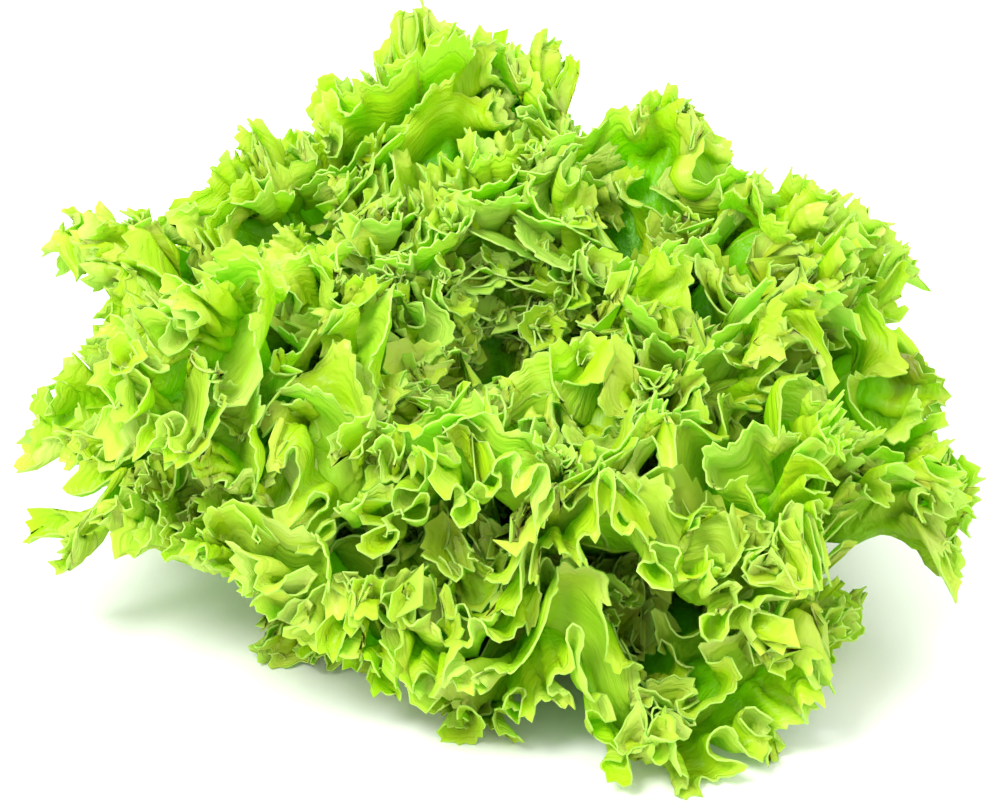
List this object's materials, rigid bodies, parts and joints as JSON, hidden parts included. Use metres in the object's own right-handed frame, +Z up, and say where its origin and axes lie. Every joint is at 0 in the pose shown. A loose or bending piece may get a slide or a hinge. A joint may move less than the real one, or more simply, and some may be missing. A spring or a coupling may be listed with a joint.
{
  "type": "curly-leaf lettuce head",
  "caption": "Loosely open head of frilly green lettuce: crinkled leaves in a rosette on a short cut stem, the outer leaves spread on the table.",
  "frame": {"origin": "centre of the stem's flat cut face, on the surface the head stands on", "axes": "+Z up along the stem, -Y towards the viewer of the picture, +X to the viewer's right"},
  "size_m": [0.3063, 0.2715, 0.1588],
  "materials": {
    "outer_leaf": "green leaf, slightly glossy, lets light through",
    "middle_leaf": "bright yellow-green leaf, slightly glossy, lets light through",
    "heart_leaf": "pale yellow-green young leaf, slightly glossy",
    "stem": "pale moist stem flesh, cut flat"
  },
  "bodies": {
    "root": {"outer_leaf_01": "outer_leaf", "outer_leaf_02": "outer_leaf", "outer_leaf_03": "outer_leaf", "outer_leaf_04": "outer_leaf", "outer_leaf_05": "outer_leaf", "outer_leaf_06": "outer_leaf", "outer_leaf_07": "outer_leaf", "outer_leaf_08": "outer_leaf", "outer_leaf_09": "outer_leaf", "middle_leaf_01": "middle_leaf", "middle_leaf_02": "middle_leaf", "middle_leaf_03": "middle_leaf", "middle_leaf_04": "middle_leaf", "middle_leaf_05": "middle_leaf", "middle_leaf_06": "middle_leaf", "middle_leaf_07": "middle_leaf", "middle_leaf_08": "middle_leaf", "middle_leaf_09": "middle_leaf", "middle_leaf_10": "middle_leaf", "heart_leaf_01": "heart_leaf", "heart_leaf_02": "heart_leaf", "heart_leaf_03": "heart_leaf", "heart_leaf_04": "heart_leaf", "heart_leaf_05": "heart_leaf", "heart_leaf_06": "heart_leaf", "heart_leaf_07": "heart_leaf", "stem": "stem"}
  },
  "joints": []
}
